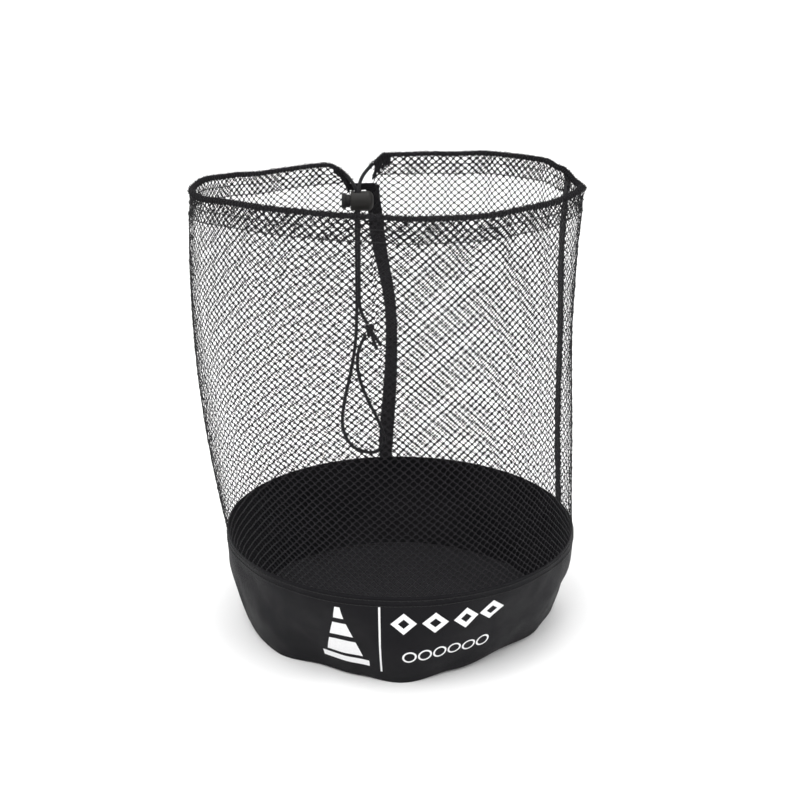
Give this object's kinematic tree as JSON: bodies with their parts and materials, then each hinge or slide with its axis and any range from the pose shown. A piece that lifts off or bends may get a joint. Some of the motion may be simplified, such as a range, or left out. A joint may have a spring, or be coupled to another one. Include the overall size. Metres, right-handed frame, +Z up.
{
  "type": "mesh ball bag",
  "caption": "Open round-bottomed mesh bag for balls, with a fabric base band, a hem with a drawstring and cord lock, and a webbing strap.",
  "frame": {"origin": "centre of the floor disc's underside", "axes": "+Z up through the mouth, +Y to the rear, where the drawstring and the strap are, +X to the side seam"},
  "size_m": [0.3484, 0.3529, 0.4075],
  "materials": {
    "coated_fabric": "coated plain weave, slight sheen",
    "net": "knotted diamond net, matt",
    "seam_tape": "overlocked seam, matt",
    "webbing": "woven webbing, matt",
    "cord": "braided cord, matt",
    "thread": "sewing thread",
    "lock_plastic": "moulded, satin",
    "button_plastic": "moulded, satin",
    "spring_steel": "drawn wire"
  },
  "bodies": {
    "bag": {"base_floor": "coated_fabric", "base_band": "coated_fabric", "band_stitching": "thread", "net_wall": "net", "side_seam": "seam_tape", "mouth_hem": "net", "hem_stitching": "thread", "drawstring_in_hem": "cord", "strap_top_end": "webbing", "strap_bottom_end": "webbing", "strap_top_tack": "thread", "strap_bottom_tack": "thread"},
    "drawstring": {"drawstring_left": "cord", "drawstring_right": "cord", "drawstring_knot": "cord"},
    "cord_lock": {"lock_body": "lock_plastic", "lock_spring": "spring_steel"},
    "button": {"lock_button": "button_plastic"},
    "strap": {"carry_strap": "webbing"}
  },
  "joints": [
    {"name": "drawstring_swing", "type": "hinge", "parent": "bag", "child": "drawstring", "pos_m": [-0.0705, 0.1401, 0.4045], "axis": [-0.9784, -0.2066, 0], "range_deg": [0, 55]},
    {"name": "lock_slide", "type": "slide", "parent": "drawstring", "child": "cord_lock", "axis": [0, 0, -1], "range_m": [0, 0.085]},
    {"name": "button_press", "type": "slide", "parent": "cord_lock", "child": "button", "axis": [1, 0, 0], "range_m": [0, 0.0042], "stiffness_N_per_m": 600, "springref_m": -0.004, "deforming": ["lock_spring"]},
    {"name": "strap_swing", "type": "hinge", "parent": "bag", "child": "strap", "pos_m": [-0.0255, 0.1565, 0.366], "axis": [0.0451, 0.0413, -0.9981], "range_deg": [-20, 20], "stiffness_Nm_per_rad": 0.01}
  ]
}
